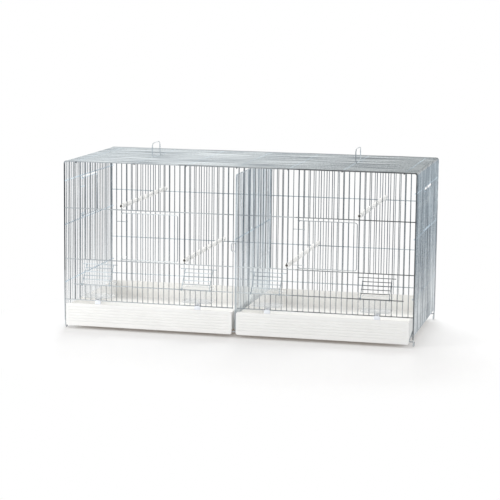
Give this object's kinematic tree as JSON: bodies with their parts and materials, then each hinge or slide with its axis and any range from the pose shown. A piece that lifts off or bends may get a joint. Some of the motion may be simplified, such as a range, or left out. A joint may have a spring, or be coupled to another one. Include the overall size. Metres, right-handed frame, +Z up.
{
  "type": "bird breeding cage",
  "caption": "Low, wide wire breeding cage split by a pull-out divider, with grooved pull-out trays, hinged doors, inward feeder flaps, clear feeders, perches and top hanging loops.",
  "frame": {"origin": "on the floor, under the middle of the bounding box", "axes": "+X along the front from left to right as seen from the front, +Y from the front to the rear, +Z up"},
  "size_m": [0.9066, 0.403, 0.4672],
  "materials": {
    "zinc_wire": "zinc-plated, satin",
    "tray_plastic": "white, satin gloss",
    "clear_plastic": "clear, gloss",
    "clip_plastic": "white, satin gloss",
    "perch_plastic": "cream, matt"
  },
  "bodies": {
    "cage": {"front_hoop": "zinc_wire", "rear_hoop": "zinc_wire", "top_grille": "zinc_wire", "left_side_grille": "zinc_wire", "right_side_grille": "zinc_wire", "rear_grille": "zinc_wire", "front_grille_left": "zinc_wire", "front_grille_right": "zinc_wire", "front_tray_rail": "zinc_wire", "rear_tray_rail": "zinc_wire", "foot_front_left": "zinc_wire", "foot_front_right": "zinc_wire", "foot_rear_left": "zinc_wire", "foot_rear_right": "zinc_wire", "feeder_clip_1": "clip_plastic", "feeder_clip_2": "clip_plastic", "feeder_clip_3": "clip_plastic", "feeder_clip_4": "clip_plastic"},
    "tray_left": {"tray_left": "tray_plastic"},
    "tray_right": {"tray_right": "tray_plastic"},
    "divider": {"divider": "zinc_wire", "divider_ring": "zinc_wire"},
    "front_door_left": {"front_door_left": "zinc_wire"},
    "front_door_right": {"front_door_right": "zinc_wire"},
    "side_door_left": {"side_door_left": "zinc_wire"},
    "side_door_right": {"side_door_right": "zinc_wire"},
    "feeder_flap_1": {"feeder_flap_1": "zinc_wire"},
    "feeder_flap_2": {"feeder_flap_2": "zinc_wire"},
    "feeder_flap_3": {"feeder_flap_3": "zinc_wire"},
    "feeder_flap_4": {"feeder_flap_4": "zinc_wire"},
    "feeder_1": {"feeder_1": "clear_plastic"},
    "feeder_2": {"feeder_2": "clear_plastic"},
    "feeder_3": {"feeder_3": "clear_plastic"},
    "feeder_4": {"feeder_4": "clear_plastic"},
    "perch_1": {"perch_1": "perch_plastic"},
    "perch_2": {"perch_2": "perch_plastic"},
    "perch_3": {"perch_3": "perch_plastic"},
    "perch_4": {"perch_4": "perch_plastic"},
    "hanger_left": {"hanger_left": "zinc_wire"},
    "hanger_right": {"hanger_right": "zinc_wire"}
  },
  "joints": [
    {"name": "tray_left_slide", "type": "slide", "parent": "cage", "child": "tray_left", "axis": [0, -1, 0], "range_m": [0, 0.4]},
    {"name": "tray_right_slide", "type": "slide", "parent": "cage", "child": "tray_right", "axis": [0, -1, 0], "range_m": [0, 0.4]},
    {"name": "divider_slide", "type": "slide", "parent": "cage", "child": "divider", "axis": [0, -1, 0], "range_m": [0, 0.4]},
    {"name": "front_door_left_hinge", "type": "hinge", "parent": "cage", "child": "front_door_left", "pos_m": [-0.29769, -0.1945, 0.2435], "axis": [0, 0, -1], "range_deg": [0, 165]},
    {"name": "front_door_right_hinge", "type": "hinge", "parent": "cage", "child": "front_door_right", "pos_m": [0.15923, -0.1945, 0.2435], "axis": [0, 0, -1], "range_deg": [0, 165]},
    {"name": "side_door_left_hinge", "type": "hinge", "parent": "cage", "child": "side_door_left", "pos_m": [-0.45, -0.05521, 0.322], "axis": [0, 0, 1], "range_deg": [0, 165]},
    {"name": "side_door_right_hinge", "type": "hinge", "parent": "cage", "child": "side_door_right", "pos_m": [0.45, -0.05521, 0.322], "axis": [0, 0, -1], "range_deg": [0, 165]},
    {"name": "feeder_flap_1_hinge", "type": "hinge", "parent": "cage", "child": "feeder_flap_1", "pos_m": [-0.36692, -0.1968, 0.115], "axis": [1, 0, 0], "range_deg": [0, 32]},
    {"name": "feeder_flap_2_hinge", "type": "hinge", "parent": "cage", "child": "feeder_flap_2", "pos_m": [-0.10385, -0.1968, 0.115], "axis": [1, 0, 0], "range_deg": [0, 32]},
    {"name": "feeder_flap_3_hinge", "type": "hinge", "parent": "cage", "child": "feeder_flap_3", "pos_m": [0.07615, -0.1968, 0.115], "axis": [1, 0, 0], "range_deg": [0, 32]},
    {"name": "feeder_flap_4_hinge", "type": "hinge", "parent": "cage", "child": "feeder_flap_4", "pos_m": [0.35308, -0.1968, 0.115], "axis": [1, 0, 0], "range_deg": [0, 32]},
    {"name": "feeder_1_lift_off", "type": "slide", "parent": "cage", "child": "feeder_1", "axis": [0, 1, 0], "range_m": [0, 0.08]},
    {"name": "feeder_2_lift_off", "type": "slide", "parent": "cage", "child": "feeder_2", "axis": [0, 1, 0], "range_m": [0, 0.08]},
    {"name": "feeder_3_lift_off", "type": "slide", "parent": "cage", "child": "feeder_3", "axis": [0, 1, 0], "range_m": [0, 0.08]},
    {"name": "feeder_4_lift_off", "type": "slide", "parent": "cage", "child": "feeder_4", "axis": [0, 1, 0], "range_m": [0, 0.08]},
    {"name": "perch_1_release", "type": "slide", "parent": "cage", "child": "perch_1", "axis": [0, 1, 0], "range_m": [-0.0065, 0.0065]},
    {"name": "perch_2_release", "type": "slide", "parent": "cage", "child": "perch_2", "axis": [0, 1, 0], "range_m": [-0.0065, 0.0065]},
    {"name": "perch_3_release", "type": "slide", "parent": "cage", "child": "perch_3", "axis": [0, 1, 0], "range_m": [-0.0065, 0.0065]},
    {"name": "perch_4_release", "type": "slide", "parent": "cage", "child": "perch_4", "axis": [0, 1, 0], "range_m": [-0.0065, 0.0065]},
    {"name": "hanger_left_fold", "type": "hinge", "parent": "cage", "child": "hanger_left", "pos_m": [-0.2655, 0.0005, 0.4277], "axis": [0, 1, 0], "range_deg": [-80, 80]},
    {"name": "hanger_right_fold", "type": "hinge", "parent": "cage", "child": "hanger_right", "pos_m": [0.2655, 0.02836, 0.4277], "axis": [0, 1, 0], "range_deg": [-80, 80]}
  ]
}
